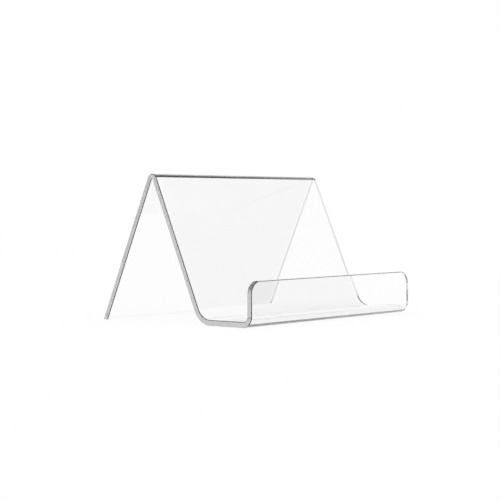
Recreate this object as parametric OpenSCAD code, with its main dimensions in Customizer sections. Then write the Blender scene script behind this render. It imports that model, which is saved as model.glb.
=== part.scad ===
// Book display stand: one sheet of clear acrylic, heated and bent along three straight lines.
// Along the sheet come the lip, the trough floor, the front rest, the ridge and the rear leg.
// X runs along the bends, +Y points to the back and +Z up. The origin is at table height,
// under the middle of the stand's box.

/* [Sheet] */
// Width of the sheet, along the bends
sheet_w = 220; // [120:5:320]
// Thickness of the sheet
sheet_t = 5; // [3:0.5:6]

/* [Stand] */
// Height of the ridge above the table
stand_h = 130; // [100:5:220]
// Lean of the front rest, in degrees back from upright
rest_lean = 23.5; // [15:0.5:35]
// Lean of the rear leg, in degrees from upright
leg_lean = 25.5; // [15:0.5:35]

/* [Trough] */
// Inside depth of the trough, from the lip's face to where the rest's face would meet the floor
trough_d = 52; // [35:1:90]
// Height of the lip above the table
lip_h = 38.5; // [30:0.5:60]
// Radius of the lip's two top corners
lip_corner_r = 11; // [2:0.5:15]

/* [Bends] */
// Inside radius of the bend between the lip and the trough floor
lip_r = 5; // [2:0.5:8]
// Inside radius of the bend between the trough floor and the rest
heel_r = 15; // [3:0.5:20]
// Inside radius of the fold at the ridge, which is sharper than the outside
ridge_r = 0.5; // [0.2:0.1:3]
// Outside radius of the fold at the ridge
ridge_out_r = 6; // [4:0.5:12]

/* [Hidden] */
// How far a facet of a bend may lie off the true arc, and fineness of the lip's corners
arc_off = 0.005;
$fn = 96;

// How far a cut reaches past the sheet
cut_past = 1;

// Outside radius of the two lower bends
lip_out_r = lip_r + sheet_t;
heel_out_r = heel_r + sheet_t;

// The heel turns the sheet up to the rest's lean, and takes this much from the flats that meet there
heel_turn = 90 - rest_lean;
heel_setback = heel_r * tan(heel_turn / 2);

// Length of the rest's face, from the trough floor to where the ridge begins to bend
ridge_z = stand_h - ridge_out_r;
rest_face = (ridge_z - sheet_t + ridge_out_r * sin(rest_lean)) / cos(rest_lean);

// Depths behind the front of the lip: of the ridge's axis, and of where a face of the rear leg meets
// the table, given how far from that axis the face runs
ridge_d = sheet_t + trough_d + rest_face * sin(rest_lean) + ridge_out_r * cos(rest_lean);
function foot_d(face_r) = ridge_d + face_r / cos(leg_lean) + ridge_z * tan(leg_lean);

// Depth of the whole stand. The front of the lip lies half of it before the origin.
stand_d = foot_d(ridge_out_r);
front_y = -stand_d / 2;

// Axes of the three bends, as [y, z]
lip_axis = [front_y + lip_out_r, lip_out_r];
heel_axis = [front_y + sheet_t + trough_d - heel_setback, heel_out_r];
ridge_axis = [front_y + ridge_d, ridge_z];

// The inside of the fold has an axis of its own, on the line that halves the turn at the ridge
fold_half_turn = 90 - (rest_lean + leg_lean) / 2;
fold_angle = 90 + (leg_lean - rest_lean) / 2;
fold_up = (ridge_out_r - sheet_t - ridge_r) / cos(fold_half_turn);
fold_axis = ridge_axis + fold_up * [cos(fold_angle), sin(fold_angle)];

// Points on a face of the sheet as it goes round a bend, from one angle to another
function bend(axis, face_r, from, to) =
    let (steps = ceil(abs(to - from) / (2 * acos(1 - arc_off / face_r))))
    [for (i = [0:steps]) let (a = from + (to - from) * i / steps) axis + face_r * [cos(a), sin(a)]];

// End view of the sheet: up the side that faces the book, then back along the other side.
// The foot of the rear leg is cut to stand flat on the table.
module end_view() {
    heel_end = 270 + heel_turn;
    ridge_start = 180 - rest_lean;
    polygon(concat(
        [[front_y + sheet_t, lip_h]],
        bend(lip_axis, lip_r, 180, 270),
        bend(heel_axis, heel_r, 270, heel_end),
        bend(ridge_axis, ridge_out_r, ridge_start, leg_lean),
        [[front_y + foot_d(ridge_out_r), 0], [front_y + foot_d(ridge_out_r - sheet_t), 0]],
        bend(fold_axis, ridge_r, leg_lean, ridge_start),
        bend(heel_axis, heel_out_r, heel_end, 270),
        bend(lip_axis, lip_out_r, 270, 180),
        [[front_y, lip_h]]
    ));
}

// What rounding takes off the lip's top corner at the +X end
module corner_waste() {
    depth = sheet_t + 2 * cut_past;
    translate([sheet_w / 2 - lip_corner_r, front_y - cut_past, lip_h - lip_corner_r])
        difference() {
            cube([lip_corner_r + cut_past, depth, lip_corner_r + cut_past]);
            translate([0, -cut_past, 0]) rotate([-90, 0, 0])
                cylinder(r = lip_corner_r, h = depth + 2 * cut_past);
        }
}

// The whole sheet, from the top edge of the lip to the foot of the rear leg
module bent_sheet() {
    color("azure", 0.4) difference() {
        rotate([90, 0, 90]) linear_extrude(sheet_w, center = true) end_view();
        for (end = [0, 1]) mirror([end, 0, 0]) corner_waste();
    }
}

bent_sheet();
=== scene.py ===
"""Book display stand: one sheet of clear acrylic bent along three lines, in a plain white studio."""

import logging
import math
from dataclasses import dataclass
from enum import Enum
from typing import Any

import bpy
import numpy as np
from mathutils import Matrix, Vector


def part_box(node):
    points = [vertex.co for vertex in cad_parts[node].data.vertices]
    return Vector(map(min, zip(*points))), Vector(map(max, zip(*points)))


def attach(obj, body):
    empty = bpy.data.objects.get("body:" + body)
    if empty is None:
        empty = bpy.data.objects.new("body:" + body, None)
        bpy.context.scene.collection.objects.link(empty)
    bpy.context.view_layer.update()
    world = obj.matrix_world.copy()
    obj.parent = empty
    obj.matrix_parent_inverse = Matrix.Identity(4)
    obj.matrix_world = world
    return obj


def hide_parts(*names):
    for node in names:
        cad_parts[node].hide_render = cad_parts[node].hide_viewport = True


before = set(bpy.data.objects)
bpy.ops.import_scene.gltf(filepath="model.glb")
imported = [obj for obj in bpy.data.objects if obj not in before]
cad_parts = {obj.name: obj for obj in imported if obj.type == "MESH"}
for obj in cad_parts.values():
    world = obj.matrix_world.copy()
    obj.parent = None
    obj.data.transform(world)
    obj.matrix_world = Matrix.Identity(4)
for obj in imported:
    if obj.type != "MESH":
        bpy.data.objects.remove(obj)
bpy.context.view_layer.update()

LOG = logging.getLogger("book_stand")
MM = 0.001
QUARTER_TURN = math.pi / 2

# Names of the new piece, of the node that it stands for and of its material slot
PIECE = "acrylic_sheet"
NODE = "bent_sheet"
SLOT = "clear_acrylic"

# An output of a shader node, and what an input that takes a number may be fed with
Socket = bpy.types.NodeSocket
Value = Socket | float

# Numbers for many points at once
Array = np.ndarray

# The two ends of a stretch of values, the lower one first
Stretch = tuple[float, float]


class BroadFace(Enum):
    """The two broad faces of the sheet, by the sign of their distance from its middle."""

    BOOK = 1.0
    TABLE = -1.0


class Mark(Enum):
    """Attributes by which the sheet's mesh tells its finish where it is."""

    PLACE = "sheet_place"
    EDGE = "sheet_edge"
    # Where dark shade is painted into the sheet's colour: the front arrises and the lip's corners
    ARRIS = "sheet_arris"


class Ray(Enum):
    """Kinds of ray that a material tells apart."""

    CAMERA = "Is Camera Ray"
    GLOSSY = "Is Glossy Ray"
    TRANSMISSION = "Is Transmission Ray"
    SHADOW = "Is Shadow Ray"


class Count(Enum):
    """What is counted along a ray's way: its reflections, and the faces of the sheet that it has passed."""

    REFLECTED = "Glossy Depth"
    PASSED = "Transmission Depth"


class Blend(Enum):
    """What a Mix node blends: its data type, the places of its share and inputs, and its output's place."""

    NUMBERS = ("FLOAT", (0, 2, 3), 0)
    COLOURS = ("RGBA", (0, 6, 7), 2)


# Kinds of ray by which a surface is seen
SEEN_BY = (Ray.CAMERA, Ray.GLOSSY, Ray.TRANSMISSION)


def grey(level: float) -> tuple[float, float, float, float]:
    """Returns an opaque grey, which is white at level 1."""
    return (level, level, level, 1.0)


class NodeBench:
    """Small helper that places shader nodes in one tree and wires them."""

    def __init__(self, tree: bpy.types.NodeTree) -> None:
        """Keeps the tree, emptied of the nodes it came with."""
        self.tree = tree
        tree.nodes.clear()

    def add(self, kind: str, settings: dict[str, Any] | None = None, **inputs: Any) -> bpy.types.Node:
        """Places one node.

        Args:
            kind: the node's type name, without the ShaderNode in front.
            settings: properties of the node itself.
            inputs: input sockets by name, with _ for a space; a socket is linked and a value is set.

        Returns:
            The new node.
        """
        node = self.tree.nodes.new("ShaderNode" + kind)
        for name, value in (settings or {}).items():
            setattr(node, name, value)
        for name, value in inputs.items():
            self.feed(node, name.replace("_", " "), value)
        return node

    def feed(self, node: bpy.types.Node, name: str | int, value: Any) -> None:
        """Links a socket to an input, or sets the input to a value.

        Args:
            node: the node that takes the value.
            name: the input's name or place.
            value: an output socket, a number, a vector or a colour.
        """
        if isinstance(value, bpy.types.NodeSocket):
            self.tree.links.new(value, node.inputs[name])
        else:
            node.inputs[name].default_value = value

    def feed_in_order(self, node: bpy.types.Node, *values: Any) -> bpy.types.Node:
        """Feeds a node's inputs from the first one on.

        Args:
            node: the node that takes the values.
            values: what each input takes.

        Returns:
            The same node.
        """
        for place, value in enumerate(values):
            self.feed(node, place, value)
        return node

    def attribute(self, mark: Mark, output: str) -> Socket:
        """Returns an output of one of the mesh's attributes."""
        return self.add("Attribute", {"attribute_name": mark.value}).outputs[output]

    def light(self, about: Ray | Count) -> Socket:
        """Returns what the light path says about the ray that is followed."""
        return self.add("LightPath").outputs[about.value]

    def math(self, operation: str, a: Value, b: Value = 0.0, c: Value = 0.0) -> Socket:
        """Returns what a Math node makes of up to three numbers."""
        return self.feed_in_order(self.add("Math", {"operation": operation}), a, b, c).outputs[0]

    def more_than(self, count: Socket, most: int) -> Socket:
        """Returns 1 where a whole count is more than most, by a limit half way to the next, else 0."""
        return self.math("GREATER_THAN", count, most + 0.5)

    def spread(self, value: Value, over: Stretch, to_low: Value, to_high: Value) -> Socket:
        """Carries a value smoothly from one stretch to another.

        Args:
            value: the value.
            over: the stretch that it comes from.
            to_low: the outcome at that stretch's low end and below it.
            to_high: the outcome at its high end and above it.

        Returns:
            The outcome.
        """
        node = self.add("MapRange", {"interpolation_type": "SMOOTHSTEP"})
        return self.feed_in_order(node, value, *over, to_low, to_high).outputs[0]

    def blend(self, share: Value, a: Any, b: Any, kind: Blend = Blend.NUMBERS) -> Socket:
        """Blends two numbers or two colours.

        Args:
            share: share of the second one.
            a: the first one.
            b: the second one.
            kind: what they are.

        Returns:
            The blend.
        """
        data_type, places, output = kind.value
        node = self.add("Mix", {"data_type": data_type})
        for place, value in zip(places, (share, a, b)):
            self.feed(node, place, value)
        return node.outputs[output]

    def any_ray(self, rays: tuple[Ray, ...]) -> Socket:
        """Tells some kinds of ray from the rest.

        Args:
            rays: the kinds.

        Returns:
            1 for any of them, and 0 for the rest.
        """
        total = self.light(rays[0])
        for ray in rays[1:]:
            total = self.math("MAXIMUM", total, self.light(ray))
        return total


@dataclass(frozen=True)
class ClearAcrylic:
    """Clear cast acrylic: polished faces, flame-polished edges and a faint grey depth.

    The faces carry a thin film of handling marks and fine hair lines, and the edges the ripple that a flame
    leaves. Shade is painted dark on the front arrises and the lip's corners, for the dark lines that light
    bent inside the sheet shows there. A scale counts the waves of a pattern in a metre, and a range is the
    stretch of the pattern's values over which it sets in.
    """

    name: str = SLOT
    ior: float = 1.49
    depth_grey: float = 0.9
    depth_density: float = 22.0
    lamp_share: float = 0.94
    face_rough: float = 0.004
    edge_rough: float = 0.08
    # Grey of the painted shade on the marked arrises and the lip's corners
    painted_arris_shade_grey: float = 0.04
    film_scale: float = 34.0
    film_detail: float = 4.0
    film_grain: float = 0.6
    film_range: Stretch = (0.45, 0.75)
    film_rough: float = 0.006
    film_grey: float = 0.997
    hair_scale: tuple[float, float, float] = (24.0, 2600.0, 1.0)
    hair_detail: float = 2.0
    hair_range: Stretch = (0.62, 0.78)
    hair_rough: float = 0.008
    ripple_scale: float = 260.0
    ripple_detail: float = 1.0
    ripple_height: float = 0.2 * MM
    ripple_strength: float = 0.08

    def material(self) -> bpy.types.Material:
        """Makes the finish, whose patterns lie on the flat sheet and follow it round the bends.

        Returns:
            The material.
        """
        made = bpy.data.materials.new(self.name)
        made.use_nodes = True
        bench = NodeBench(made.node_tree)
        place = bench.attribute(Mark.PLACE, "Vector")
        edge = bench.attribute(Mark.EDGE, "Fac")
        smears = bench.add("TexNoise", Vector=place, Scale=self.film_scale, Detail=self.film_detail)
        bench.feed(smears, "Roughness", self.film_grain)
        film = bench.spread(smears.outputs[0], self.film_range, 0.0, 1.0)
        glass = bench.add("BsdfPrincipled", Metallic=0.0, IOR=self.ior, Transmission_Weight=1.0)
        bench.feed(glass, "Base Color", self.colour(bench, film))
        bench.feed(glass, "Roughness", self.roughness(bench, place, edge, film))
        bench.feed(glass, "Normal", self.ripple(bench, place, edge))
        lamp_way = bench.add("BsdfTransparent", Color=grey(self.lamp_share))
        shown = bench.add("MixShader")
        bench.feed_in_order(shown, bench.light(Ray.SHADOW), glass.outputs[0], lamp_way.outputs[0])
        depth = bench.add("VolumeAbsorption", Color=grey(self.depth_grey), Density=self.depth_density)
        bench.add("OutputMaterial", Surface=shown.outputs[0], Volume=depth.outputs[0])
        return made

    def colour(self, bench: NodeBench, film: Socket) -> Socket:
        """Works out the colour: clear, a trace greyer under the film, and painted shade, dark from outside,
        on the marked arrises and the lip's corners.

        Args:
            bench: where the nodes go.
            film: how much film there is.

        Returns:
            The colour.
        """
        clear = bench.blend(film, grey(1.0), grey(self.film_grey), Blend.COLOURS)
        # Painted shade: the marked arrises and lip corners turn dark grey where they are seen from outside
        outside = bench.math("SUBTRACT", 1.0, bench.add("NewGeometry").outputs["Backfacing"])
        dark = bench.math("MULTIPLY", bench.attribute(Mark.ARRIS, "Fac"), outside)
        return bench.blend(dark, clear, grey(self.painted_arris_shade_grey), Blend.COLOURS)

    def roughness(self, bench: NodeBench, place: Socket, edge: Socket, film: Socket) -> Socket:
        """Works out the roughness: that of a polished face, with what film, hair lines and edges add to it.

        Args:
            bench: where the nodes go.
            place: the place on the flat sheet.
            edge: 1 on the edges, 0 on the faces.
            film: how much film there is.

        Returns:
            The roughness.
        """
        lines = bench.add("Mapping", Vector=place, Scale=self.hair_scale).outputs[0]
        hair = bench.add("TexNoise", Vector=lines, Scale=1.0, Detail=self.hair_detail).outputs[0]
        hair = bench.spread(hair, self.hair_range, 0.0, 1.0)
        filmed = bench.math("MULTIPLY_ADD", film, self.film_rough, self.face_rough)
        lined = bench.math("MULTIPLY_ADD", hair, self.hair_rough, filmed)
        return bench.math("MULTIPLY_ADD", edge, self.edge_rough, lined)

    def ripple(self, bench: NodeBench, place: Socket, edge: Socket) -> Socket:
        """Works out the normal of the edges' ripple.

        Args:
            bench: where the nodes go.
            place: the place on the flat sheet.
            edge: 1 on the edges, 0 on the faces.

        Returns:
            The normal.
        """
        waves = bench.add("TexNoise", Vector=place, Scale=self.ripple_scale, Detail=self.ripple_detail)
        height = bench.math("MULTIPLY", waves.outputs[0], edge)
        bump = bench.add("Bump", Strength=self.ripple_strength, Distance=self.ripple_height, Height=height)
        return bump.outputs[0]


@dataclass
class FacePath:
    """One broad face of the sheet in end view: flats and bends in turn, from the lip's top to the foot.

    Each of them is a run, with a length, a turn, which is 0 on a flat, and the heading it starts with. The
    next run starts where it ends: along the chord, whose length is the run's times sin(h) / h for half its
    turn h.
    """

    start: tuple[float, float]
    lengths: Array
    turns: Array

    def __post_init__(self) -> None:
        """Works out where each run starts and its heading there, and lets the last run down to the table."""
        self.headings = np.cumsum(self.turns) - self.turns - QUARTER_TURN
        chord = self.lengths * np.sinc(self.turns / (2 * math.pi))
        way = self.headings + self.turns / 2
        steps = chord[:, None] * np.stack([np.cos(way), np.sin(way)], axis=1)
        self.points = np.array(self.start) + np.cumsum(steps, axis=0) - steps
        self.lengths[-1] = self.points[-1, 1] / -math.sin(self.headings[-1])

    def at(self, run: Array, share: Array) -> tuple[Array, Array]:
        """Finds points of the face: a run's start plus the chord of the part that has been passed.

        Args:
            run: number of the run that each point lies on.
            share: share of the run that has been passed.

        Returns:
            Places, with y and z in the last axis, and headings.
        """
        turn = self.turns[run] * share
        chord = self.lengths[run] * share * np.sinc(turn / (2 * math.pi))
        way = self.headings[run] + turn / 2
        place = self.points[run] + chord[..., None] * np.stack([np.cos(way), np.sin(way)], axis=-1)
        return place, self.headings[run] + turn


@dataclass
class RimLayers:
    """Layers of the sheet's rim, from the book's face to the table's: two quarter rounds with a flat between.

    With the arris's radius a and the thickness t, the first round lies at inset = a (1 - sin q) from the
    outline and height = t / 2 - a (1 - cos q) above the sheet's middle, with q from 0 to a quarter turn.
    The second mirrors it. A layer's normal is sin q outwards and cos q away from the sheet's middle.
    """

    thick: float
    arris: float
    steps: int

    def __post_init__(self) -> None:
        """Works out the layers' insets and heights, and the two parts of their normals."""
        quarter = np.linspace(0, QUARTER_TURN, self.steps)
        inset = self.arris * (1 - np.sin(quarter))
        height = self.thick / 2 - self.arris * (1 - np.cos(quarter))
        self.inset = np.concatenate([inset, inset[::-1]])
        self.height = np.concatenate([height, -height[::-1]])
        self.outward = np.concatenate([np.sin(quarter), np.sin(quarter[::-1])])
        self.upward = np.concatenate([np.cos(quarter), -np.cos(quarter[::-1])])


@dataclass
class GridRows:
    """Rows of the sheet's grid, from the lip's top to the foot.

    Stations and half widths have a line for each layer of the rim. A row's turn says how far it has gone
    round its corner, and is a quarter turn where the sheet's sides are straight.
    """

    stations: Array
    halves: Array
    turns: Array

    def last(self) -> int:
        """Returns the number of the row at the foot."""
        return len(self.turns) - 1

    def at_lip(self, row: Array) -> Array:
        """Returns which of these rows lie in the lip's half of the grid."""
        return row < self.last() // 2


@dataclass
class SheetSurface:
    """The closed sheet as arrays.

    Vertices, normals and places on the flat sheet have a line for each point. Faces have a line of four
    points each, and a mark of the edge and a mark of painted shade for each.
    """

    vertices: Array
    normals: Array
    places: Array
    faces: Array
    edge: Array
    arris: Array


@dataclass
class BentSheet:
    """The stand itself: a flat sheet with round lip corners, carried round three bends.

    Sizes are in metres and leans in radians from upright. The front way is the direction, as y and z, that
    parts the arrises of the front, which get painted shade, from the rest, and the corner shade is the
    strongest painted shade on the flat of the lip's corners. Whole numbers count the grid's columns, and its
    rows on the stretches that they name.
    """

    width: float = 220 * MM
    thick: float = 5 * MM
    height: float = 130 * MM
    rest_lean: float = math.radians(23.5)
    leg_lean: float = math.radians(25.5)
    trough: float = 52 * MM
    lip: float = 38.5 * MM
    lip_corner: float = 11 * MM
    lip_bend: float = 5 * MM
    heel_bend: float = 15 * MM
    ridge_bend: float = 0.5 * MM
    ridge_out: float = 6 * MM
    foot_corner: float = 1.2 * MM
    arris: float = 0.6 * MM
    # Painted shade: which arrises face the front and get a dark colour, and how dark the lip's corners get
    painted_shade_front_way: tuple[float, float] = (-0.8, 0.6)
    corner_painted_shade: float = 0.85
    columns: int = 44
    lip_corner_rows: int = 15
    lip_to_ridge_rows: tuple[int, ...] = (4, 28, 8, 28, 24, 48)
    leg_rows: int = 28
    foot_corner_rows: int = 7
    arris_rows: int = 5
    finish: ClearAcrylic = ClearAcrylic()

    def __post_init__(self) -> None:
        """Works out the paths of the two broad faces, where the runs of the sheet start, and its columns."""
        self.book = self.path(BroadFace.BOOK)
        self.table = self.path(BroadFace.TABLE)
        lengths = (self.book.lengths + self.table.lengths) / 2
        self.starts = np.concatenate([[0], np.cumsum(lengths)])
        self.across = np.linspace(-1, 1, self.columns + 1)

    def path(self, face: BroadFace) -> FacePath:
        """Works out one broad face's path.

        The lower bends keep the sheet's thickness. At the ridge the inside is folded sharper than the
        outside, so that the flats on that side run on to a bend with a smaller radius.

        Args:
            face: the broad face.

        Returns:
            Its path, which starts at the lip's top.
        """
        on_table = face is BroadFace.TABLE
        deeper = self.thick if on_table else 0.0
        heel_turn = QUARTER_TURN - self.rest_lean
        ridge_turn = math.pi - self.rest_lean - self.leg_lean
        setback = self.heel_bend * math.tan(heel_turn / 2)
        rise = self.height - self.ridge_out - self.thick + self.ridge_out * math.sin(self.rest_lean)
        ridge_r = self.ridge_bend if on_table else self.ridge_out
        run_on = (self.ridge_out - deeper - ridge_r) * math.tan(ridge_turn / 2)
        lip_flat = self.lip - self.lip_bend - self.thick
        trough_flat = self.trough - self.lip_bend - setback
        rest_flat = rise / math.cos(self.rest_lean) - setback + run_on
        flats = np.array([lip_flat, 0, trough_flat, 0, rest_flat, 0, 0])
        turns = np.array([0, QUARTER_TURN, 0, heel_turn, 0, -ridge_turn, 0])
        radii = np.array([0, self.lip_bend + deeper, 0, self.heel_bend + deeper, 0, ridge_r, 0])
        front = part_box(NODE)[0].y + self.thick - deeper
        return FacePath((front, self.lip), flats + np.abs(turns) * radii, turns)

    def carry(self, s: Array, n: Array | float) -> tuple[Array, Array, Array]:
        """Carries points of the flat sheet round the bends.

        A point at station s takes the same share of its run on both faces, and lies between those two
        places in the share that its height n has of the thickness.

        Args:
            s: stations along the sheet, from the lip's top.
            n: heights above the middle of the sheet, positive on the book's side.

        Returns:
            Places, tangents and normals, each with y and z in its last axis.
        """
        s, n = np.broadcast_arrays(s, n)
        last_run = len(self.starts) - 2
        run = np.clip(np.searchsorted(self.starts, s, side="right") - 1, 0, last_run)
        share = (s - self.starts[run]) / (self.starts[run + 1] - self.starts[run])
        on_book, head = self.book.at(run, share)
        on_table, _ = self.table.at(run, share)
        up = (n / self.thick + 0.5)[..., None]
        tangent = np.stack([np.cos(head), np.sin(head)], axis=-1)
        normal = np.stack([-np.sin(head), np.cos(head)], axis=-1)
        return on_table + up * (on_book - on_table), tangent, normal

    def rows(self, inset: Array) -> GridRows:
        """Works out the rows of the sheet's grid, for an outline drawn in by an inset.

        The first rows go round the lip's corner in equal turns q, at s = inset + r (1 - cos q) and half
        width w / 2 - corner + r sin q with r = corner - inset. Then each run has equal steps, and the last
        rows go round the foot's corner in the same way, back from the foot.

        Args:
            inset: how far the outline is drawn in, one value a layer.

        Returns:
            The rows.
        """
        inset = inset[:, None]
        lip_turn = np.linspace(0, QUARTER_TURN, self.lip_corner_rows)
        foot_turn = np.linspace(QUARTER_TURN, 0, self.foot_corner_rows)[1:]
        lip_r = self.lip_corner - inset
        foot_r = self.foot_corner - inset
        foot = self.starts[-1]
        begins = np.concatenate([[self.lip_corner], self.starts[1:-1]])
        spans = np.concatenate([self.starts[1:-1], [foot - self.foot_corner]]) - begins
        counts = (*self.lip_to_ridge_rows, self.leg_rows)
        sides = np.concatenate([b + w * np.arange(1, k + 1) / k for b, w, k in zip(begins, spans, counts)])
        straight = np.ones_like(sides)
        half = self.width / 2
        stations = np.concatenate([
            inset + lip_r * (1 - np.cos(lip_turn)),
            np.ones_like(inset) * sides,
            foot - inset - foot_r * (1 - np.cos(foot_turn)),
        ], axis=1)
        halves = np.concatenate([
            half - self.lip_corner + lip_r * np.sin(lip_turn),
            (half - inset) * straight,
            half - self.foot_corner + foot_r * np.sin(foot_turn),
        ], axis=1)
        return GridRows(stations, halves, np.concatenate([lip_turn, straight * QUARTER_TURN, foot_turn]))

    def outline(self, last: int) -> tuple[Array, Array]:
        """Goes once round the grid: along the first row, down the last column, back by the other two sides.

        Args:
            last: number of the grid's last row.

        Returns:
            Rows and columns of the points on the way.
        """
        across = np.arange(self.columns + 1)
        down = np.arange(last + 1)
        back, up = across[-2::-1], down[-2:0:-1]
        row = np.concatenate([np.zeros_like(across), down[1:], np.full_like(back, last), up])
        column = np.concatenate([across, np.full_like(down[1:], self.columns), back, np.zeros_like(up)])
        return row, column

    def broad_face(self, face: BroadFace, s: Array, half: Array) -> tuple[Array, ...]:
        """Works out one broad face: a grid with x = half width times -1 to 1, at half the thickness.

        Args:
            face: the broad face.
            s: stations of its rows.
            half: half widths of its rows.

        Returns:
            Its points, normals and places on the flat sheet.
        """
        n = face.value * self.thick / 2
        x = half[:, None] * self.across
        place, _, normal = self.carry(s, n)
        points = np.zeros(x.shape + (3,))
        points[..., 0] = x
        points[..., 1:] = place[:, None]
        normals = np.zeros_like(points)
        normals[..., 1:] = face.value * normal[:, None]
        flat = np.stack(np.broadcast_arrays(x, s[:, None], n), axis=-1)
        return points.reshape(-1, 3), normals.reshape(-1, 3), flat.reshape(-1, 3)

    def rim(self, layers: RimLayers, rows: GridRows, row: Array, column: Array) -> tuple[Array, ...]:
        """Works out the rim between the broad faces: the grid's outline once for each layer between them.

        Outwards is sin q across the sheet, plus cos q back along it at the lip, or cos q / cos(lean) down
        at the foot, which is cut level.

        Args:
            layers: the rim's layers.
            rows: the grid's rows.
            row: rows of the points along the outline.
            column: their columns.

        Returns:
            Its points, normals and places on the flat sheet.
        """
        between = slice(1, -1)
        s = rows.stations[between][:, row]
        x = rows.halves[between][:, row] * self.across[column]
        n = np.broadcast_to(layers.height[between, None], s.shape)
        place, tangent, normal = self.carry(s, n)
        turn = rows.turns[row]
        at_lip = rows.at_lip(row)
        outward = np.zeros(s.shape + (3,))
        outward[..., 0] = np.sin(turn) * np.sign(self.across[column])
        outward[..., 1:] = -tangent * (np.cos(turn) * at_lip)[:, None]
        outward[..., 2] -= np.cos(turn) * ~at_lip / math.cos(self.leg_lean)
        normals = layers.outward[between, None, None] * outward
        normals[..., 1:] += layers.upward[between, None, None] * normal
        points = np.concatenate([x[..., None], place], axis=-1)
        return points.reshape(-1, 3), normals.reshape(-1, 3), np.stack([x, s, n], axis=-1).reshape(-1, 3)

    def faces(self, last: int, layers: int, row: Array, column: Array) -> tuple[Array, Array]:
        """Joins the points to faces of four: squares of the two grids, and bands between the rim's layers.

        Args:
            last: number of the grid's last row.
            layers: how many layers the rim has, with the broad faces' own outlines.
            row: rows of the points along the outline.
            column: their columns.

        Returns:
            The faces of the two grids, and those of the rim.
        """
        index = np.arange((last + 1) * (self.columns + 1)).reshape(last + 1, self.columns + 1)
        squares = np.stack([index[:-1, :-1], index[:-1, 1:], index[1:, 1:], index[1:, :-1]], axis=-1)
        book = squares.reshape(-1, 4)
        table = book[:, ::-1] + index.size
        around = index[row, column][None]
        between = np.arange((layers - 2) * len(row)).reshape(-1, len(row))
        loops = np.concatenate([around, 2 * index.size + between, index.size + around])
        ahead = np.roll(loops, -1, axis=1)
        bands = np.stack([loops[:-1], loops[1:], ahead[1:], ahead[:-1]], axis=-1)
        return np.concatenate([book, table]), bands.reshape(-1, 4)

    def marks(self, layers: RimLayers, rows: GridRows, row: Array) -> tuple[Array, Array]:
        """Marks the rim's faces for the finish, band by band.

        Args:
            layers: the rim's layers.
            rows: the grid's rows.
            row: rows of the points along the outline.

        Returns:
            A mark of the edge, which is 1 on the flat between the rounds. And a mark of painted shade, which
            is 1 on the rounds that face the front, but for the foot's, and the strongest corner shade times
            sin(2 q) on the flat of the lip's corners.
        """
        side = np.sign(layers.height)[1:, None]
        flat = np.zeros((len(side), len(row)), bool)
        flat[layers.steps - 1] = True
        _, _, normal = self.carry(rows.stations[1][row], 0.0)
        # Painted shade: the front arrises and the lip's corners are marked to be coloured dark
        to_front = side * (normal @ np.array(self.painted_shade_front_way)) > 0
        corner = self.corner_painted_shade * np.where(rows.at_lip(row), np.sin(2 * rows.turns[row]), 0)
        arris = np.where(flat, corner, to_front & (row < rows.last()))
        return flat.ravel(), arris.ravel()

    def surface(self) -> SheetSurface:
        """Works out the whole closed sheet: the broad faces' grids, and the rim that joins their outlines.

        Returns:
            The sheet, whose marks are 0 on the broad faces.
        """
        layers = RimLayers(self.thick, self.arris, self.arris_rows)
        rows = self.rows(layers.inset)
        row, column = self.outline(rows.last())
        book = self.broad_face(BroadFace.BOOK, rows.stations[0], rows.halves[0])
        table = self.broad_face(BroadFace.TABLE, rows.stations[-1], rows.halves[-1])
        rim = self.rim(layers, rows, row, column)
        vertices, normals, places = (np.concatenate(parts) for parts in zip(book, table, rim))
        normals /= np.linalg.norm(normals, axis=1, keepdims=True)
        broad, bands = self.faces(rows.last(), len(layers.height), row, column)
        unmarked = np.zeros(len(broad))
        # The second mark says where shade is painted on the rim
        edge, arris = (np.concatenate([unmarked, mark]) for mark in self.marks(layers, rows, row))
        return SheetSurface(vertices, normals, places, np.concatenate([broad, bands]), edge, arris)

    def build(self) -> bpy.types.Object:
        """Puts the sheet into a mesh, in place of the node it stands for.

        Returns:
            The new piece, riding on the stand's one body.
        """
        sheet = self.surface()
        mesh = bpy.data.meshes.new(PIECE)
        mesh.from_pydata(sheet.vertices, [], sheet.faces)
        place = mesh.attributes.new(Mark.PLACE.value, "FLOAT_VECTOR", "POINT")
        place.data.foreach_set("vector", sheet.places.ravel())
        # The edge mark, and the mark of where shade is painted
        for mark, values in ((Mark.EDGE, sheet.edge), (Mark.ARRIS, sheet.arris)):
            mesh.attributes.new(mark.value, "FLOAT", "FACE").data.foreach_set("value", values)
        mesh.shade_smooth()
        mesh.normals_split_custom_set_from_vertices(sheet.normals)
        piece = bpy.data.objects.new(PIECE, mesh)
        bpy.context.scene.collection.objects.link(piece)
        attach(piece, "root")
        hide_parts(NODE)
        return piece

    def dress(self, piece: bpy.types.Object) -> None:
        """Gives the piece its finish."""
        piece.data.materials.append(self.finish.material())


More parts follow.
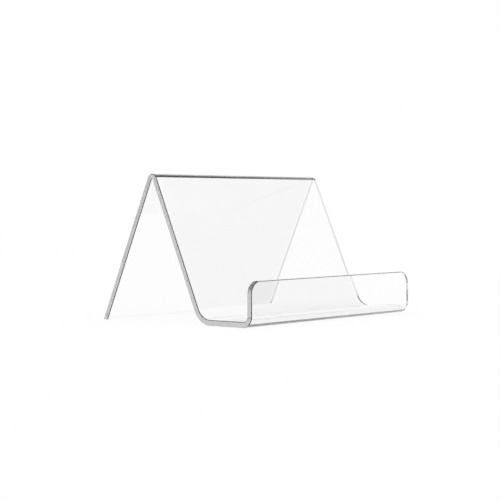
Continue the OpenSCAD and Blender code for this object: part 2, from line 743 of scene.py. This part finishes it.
@dataclass(frozen=True)
class StudioWhite:
    """White floor and white all round, with what the sheet shows by reflection toned down.

    A ray that nothing reflected shows white. One reflected once shows the near tone, or the deep one behind
    the panel of the sheet that it met first, but white behind the stand, greyer on the left. One reflected
    a few times shows white. One reflected more often ran along inside the sheet, and shows white or, past a
    count of reflections, dark.

    The floor's stretches are in metres, and the world's are parts of a direction of length 1. A fade is a
    stretch of counted reflections, and first_panel one of counted faces. few and two_panels are the most
    reflections, and the most faces passed, that still count as such.
    """

    floor_name: str = "studio_floor"
    floor_albedo: float = 0.12
    floor_half: float = 6.0
    floor_drop: float = 0.2 * MM
    floor_near: float = 1.0
    floor_deep: float = 0.1
    floor_behind: Stretch = (100 * MM, 160 * MM)
    floor_left: Stretch = (-100 * MM, 0.0)
    floor_before: Stretch = (-70 * MM, -50 * MM)
    floor_past_ends: Stretch = (115 * MM, 125 * MM)
    floor_fade: Stretch = (14.0, 24.0)
    world_near: float = 0.93
    world_deep: float = 0.1
    world_behind: Stretch = (0.1, 0.4)
    world_low: Stretch = (0.15, 0.35)
    world_left: Stretch = (-0.3, 0.0)
    world_before: Stretch = (-0.1, 0.1)
    world_fade: Stretch = (23.0, 28.0)
    left_tone: float = 0.84
    first_panel: Stretch = (2.0, 4.0)
    two_panels: int = 5
    few: int = 3
    bounces: int = 64

    def build(self) -> bpy.types.Object:
        """Makes the floor and the world, and lets light run long ways inside the sheet.

        Returns:
            The floor.
        """
        self.world()
        cycles = bpy.context.scene.cycles
        cycles.max_bounces = cycles.glossy_bounces = cycles.transmission_bounces = self.bounces
        cycles.transparent_max_bounces = self.bounces
        bpy.context.scene.view_settings.view_transform = "Standard"
        return self.floor()

    def by_way(self, bench: NodeBench, once: Value, inside: Value) -> Socket:
        """Chooses a tone by the way a ray came, which is white if it was reflected a few times or not at all.

        Args:
            bench: where the nodes go.
            once: tone for rays reflected once.
            inside: tone for rays that ran along inside the sheet.

        Returns:
            The chosen tone.
        """
        count = bench.light(Count.REFLECTED)
        few = bench.blend(bench.more_than(count, 1), once, 1.0)
        reflected = bench.blend(bench.more_than(count, self.few), few, inside)
        return bench.blend(bench.more_than(count, 0), 1.0, reflected)

    def by_count(self, bench: NodeBench, fade: Stretch) -> Socket:
        """Returns a tone that goes from white to dark over a stretch of counted reflections."""
        return bench.spread(bench.light(Count.REFLECTED), fade, 1.0, 0.0)

    def by_depth(self, bench: NodeBench, near: float, deep: float) -> Socket:
        """Returns the near tone for rays that have passed one panel at most, and else the deep tone."""
        return bench.spread(bench.light(Count.PASSED), self.first_panel, near, deep)

    def behind(self, bench: NodeBench, x: Socket, left: Stretch) -> Socket:
        """Works out the tone of what lies behind the stand.

        Args:
            bench: where the nodes go.
            x: where the ray ends, along X.
            left: stretch over which the greyer left side gives way to white.

        Returns:
            The tone, which is white all over for rays that have passed more than two panels.
        """
        sided = bench.spread(x, left, self.left_tone, 1.0)
        return bench.blend(bench.more_than(bench.light(Count.PASSED), self.two_panels), sided, 1.0)

    def floor_tone(self, bench: NodeBench) -> Socket:
        """Works out the floor's tone for the ray that shows it.

        Rays from inside the sheet see white before the stand and past its ends, and fade out elsewhere.

        Args:
            bench: where the nodes go.

        Returns:
            The tone.
        """
        spot = bench.add("SeparateXYZ", Vector=bench.add("TexCoord").outputs["Object"])
        x, y = (spot.outputs[axis] for axis in "XY")
        near = self.by_depth(bench, self.floor_near, self.floor_deep)
        once = bench.spread(y, self.floor_behind, near, self.behind(bench, x, self.floor_left))
        faded = self.by_count(bench, self.floor_fade)
        past_ends = bench.spread(bench.math("ABSOLUTE", x), self.floor_past_ends, faded, 1.0)
        before = bench.spread(y, self.floor_before, 1.0, 0.0)
        return self.by_way(bench, once, bench.math("MAXIMUM", past_ends, before))

    def world_tone(self, bench: NodeBench) -> Socket:
        """Works out the world's tone for the ray that ends there.

        Rays from inside the sheet see white to the front, and fade out elsewhere.

        Args:
            bench: where the nodes go.

        Returns:
            The tone.
        """
        way = bench.add("SeparateXYZ", Vector=bench.add("TexCoord").outputs["Generated"])
        x, y, z = (way.outputs[axis] for axis in "XYZ")
        near = self.by_depth(bench, self.world_near, self.world_deep)
        behind = bench.spread(y, self.world_behind, 0.0, 1.0)
        low = bench.spread(z, self.world_low, 1.0, 0.0)
        low_behind = bench.math("MULTIPLY", behind, low)
        once = bench.blend(low_behind, near, self.behind(bench, x, self.world_left))
        before = bench.spread(y, self.world_before, 1.0, 0.0)
        return self.by_way(bench, once, bench.math("MAXIMUM", before, self.by_count(bench, self.world_fade)))

    def floor_material(self) -> bpy.types.Material:
        """Makes the floor's finish: matte, to keep shadows, and lifted to its tone for rays that show it.

        Returns:
            The material.
        """
        made = bpy.data.materials.new(self.floor_name)
        made.use_nodes = True
        bench = NodeBench(made.node_tree)
        tone = self.floor_tone(bench)
        shown = bench.any_ray(SEEN_BY)
        toned = bench.math("MULTIPLY", tone, self.floor_albedo)
        matte = bench.add("BsdfDiffuse", Color=bench.blend(shown, self.floor_albedo, toned))
        lift = bench.math("MULTIPLY", tone, 1.0 - self.floor_albedo)
        glow = bench.add("Emission", Color=grey(1.0), Strength=bench.math("MULTIPLY", shown, lift))
        both = bench.feed_in_order(bench.add("AddShader"), matte.outputs[0], glow.outputs[0])
        bench.add("OutputMaterial", Surface=both.outputs[0])
        return made

    def floor(self) -> bpy.types.Object:
        """Makes the floor, a square plane.

        Returns:
            The floor, marked as stage.
        """
        corners = np.array([[-1, -1], [1, -1], [1, 1], [-1, 1]]) * self.floor_half
        vertices = np.column_stack([corners, np.full(len(corners), -self.floor_drop)])
        mesh = bpy.data.meshes.new(self.floor_name)
        mesh.from_pydata(vertices, [], [range(len(corners))])
        mesh.materials.append(self.floor_material())
        floor = bpy.data.objects.new(self.floor_name, mesh)
        bpy.context.scene.collection.objects.link(floor)
        return floor

    def world(self) -> None:
        """Makes the world: white, but toned for light that the sheet reflects."""
        world = bpy.data.worlds.new("studio")
        bpy.context.scene.world = world
        world.use_nodes = True
        bench = NodeBench(world.node_tree)
        white = bench.add("Background", Color=grey(1.0), Strength=self.world_tone(bench))
        bench.add("OutputWorld", Surface=white.outputs[0])


@dataclass(frozen=True)
class PhotoCamera:
    """The camera, at the place and the angles that the stand's edges in the photo ask for.

    Its place is in metres, its angles in degrees, its lens and sensor in millimetres, and clip says from
    where to where it sees, in metres.
    """

    name: str = "photo_camera"
    place: tuple[float, float, float] = (-0.91206, -0.81317, 0.09097)
    azimuth: float = 47.946
    pitch: float = -1.416
    roll: float = -0.698
    lens: float = 95.404
    sensor: float = 36.0
    clip: Stretch = (0.02, 50.0)

    def build(self) -> bpy.types.Object:
        """Makes the camera and gives it to the scene.

        Its forward axis has the azimuth, from +Y to +X, and the pitch. The roll turns it about that axis.

        Returns:
            The camera.
        """
        azimuth, pitch, roll = (math.radians(a) for a in (self.azimuth, self.pitch, self.roll))
        ahead = math.cos(pitch)
        forward = Vector((math.sin(azimuth) * ahead, math.cos(azimuth) * ahead, math.sin(pitch)))
        level = forward.cross(Vector((0, 0, 1))).normalized()
        upright = level.cross(forward)
        right = math.cos(roll) * level + math.sin(roll) * upright
        up = math.cos(roll) * upright - math.sin(roll) * level
        turned = Matrix((right, up, -forward)).transposed()
        lens = bpy.data.cameras.new(self.name)
        lens.sensor_width = self.sensor
        lens.lens = self.lens
        lens.clip_start, lens.clip_end = self.clip
        camera = bpy.data.objects.new(self.name, lens)
        camera.matrix_world = Matrix.Translation(self.place) @ turned.to_4x4()
        bpy.context.scene.collection.objects.link(camera)
        bpy.context.scene.camera = camera
        return camera


def main() -> None:
    """Builds the camera, the studio and the stand in that order."""
    logging.basicConfig(level=logging.INFO, format="%(name)s: %(message)s")
    PhotoCamera().build()
    StudioWhite().build()
    sheet = BentSheet()
    piece = sheet.build()
    sheet.dress(piece)
    LOG.info("%s: %d vertices, %d faces", piece.name, len(piece.data.vertices), len(piece.data.polygons))


if __name__ == "__main__":
    main()
